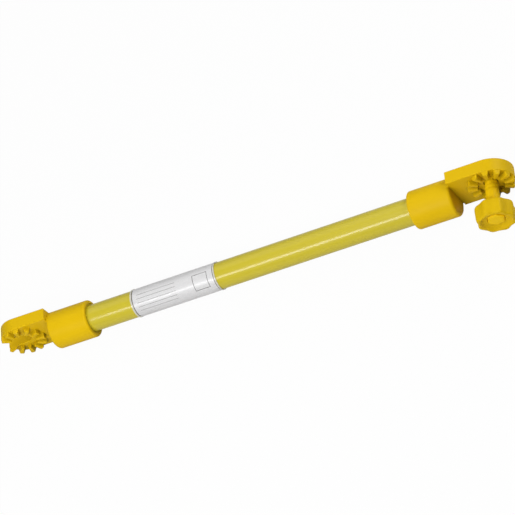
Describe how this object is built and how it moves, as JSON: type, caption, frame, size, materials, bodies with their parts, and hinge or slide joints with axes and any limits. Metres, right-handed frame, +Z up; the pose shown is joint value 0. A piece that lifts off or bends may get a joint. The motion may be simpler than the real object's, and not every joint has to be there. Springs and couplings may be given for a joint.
{
  "type": "insulating rod",
  "caption": "Yellow glass-fibre rod with moulded toothed heads, one slotted and one with a captive clamp screw and a lobed knob",
  "frame": {"origin": "centre of the bounding box in plan, at the height of the surface that the rod lies on", "axes": "+X along the rod toward the head with the clamp screw, +Y toward the plain backs of the heads, +Z up; the rod rests on the flat sides of its two tongues"},
  "size_m": [0.4156, 0.048, 0.0345],
  "materials": {
    "tube": "smooth glass-fibre tube, resin-rich surface",
    "foam_core": "closed-cell foam",
    "end_plug_left": "moulded nylon",
    "end_plug_right": "moulded nylon",
    "plug_ring_left": "black rubber ring",
    "plug_ring_right": "black rubber ring",
    "mouth_seal_left": "black rubber lip ring",
    "mouth_seal_right": "black rubber lip ring",
    "socket_head": "satin moulded nylon",
    "clamp_head": "satin moulded nylon",
    "thread_insert": "turned brass",
    "retaining_ring": "oiled spring steel",
    "clamp_screw": "moulded glass-filled nylon",
    "star_knob": "satin moulded nylon",
    "label_film": "silver printed film, left blank",
    "label_laminate": "clear protective film"
  },
  "bodies": {
    "rod": {"tube": "tube", "foam_core": "foam_core", "end_plug_left": "end_plug_left", "end_plug_right": "end_plug_right", "plug_ring_left": "plug_ring_left", "plug_ring_right": "plug_ring_right", "mouth_seal_left": "mouth_seal_left", "mouth_seal_right": "mouth_seal_right", "socket_head": "socket_head", "clamp_head": "clamp_head", "thread_insert": "thread_insert", "label_film": "label_film", "label_laminate": "label_laminate"},
    "screw_carrier": {"retaining_ring": "retaining_ring"},
    "clamp_knob": {"clamp_screw": "clamp_screw", "star_knob": "star_knob"}
  },
  "joints": [
    {"name": "screw_travel", "type": "slide", "parent": "rod", "child": "screw_carrier", "axis": [0, 1, 0], "range_m": [-0.003, 0.006]},
    {"name": "knob_turn", "type": "hinge", "parent": "screw_carrier", "child": "clamp_knob", "pos_m": [0.19052, 0.0083, 0.01725], "axis": [0, 1, 0], "range_deg": [-360, 720]}
  ],
  "couplings": [
    {"joint": "screw_travel", "follows": "knob_turn", "m_per_rad": 0.00047746}
  ]
}
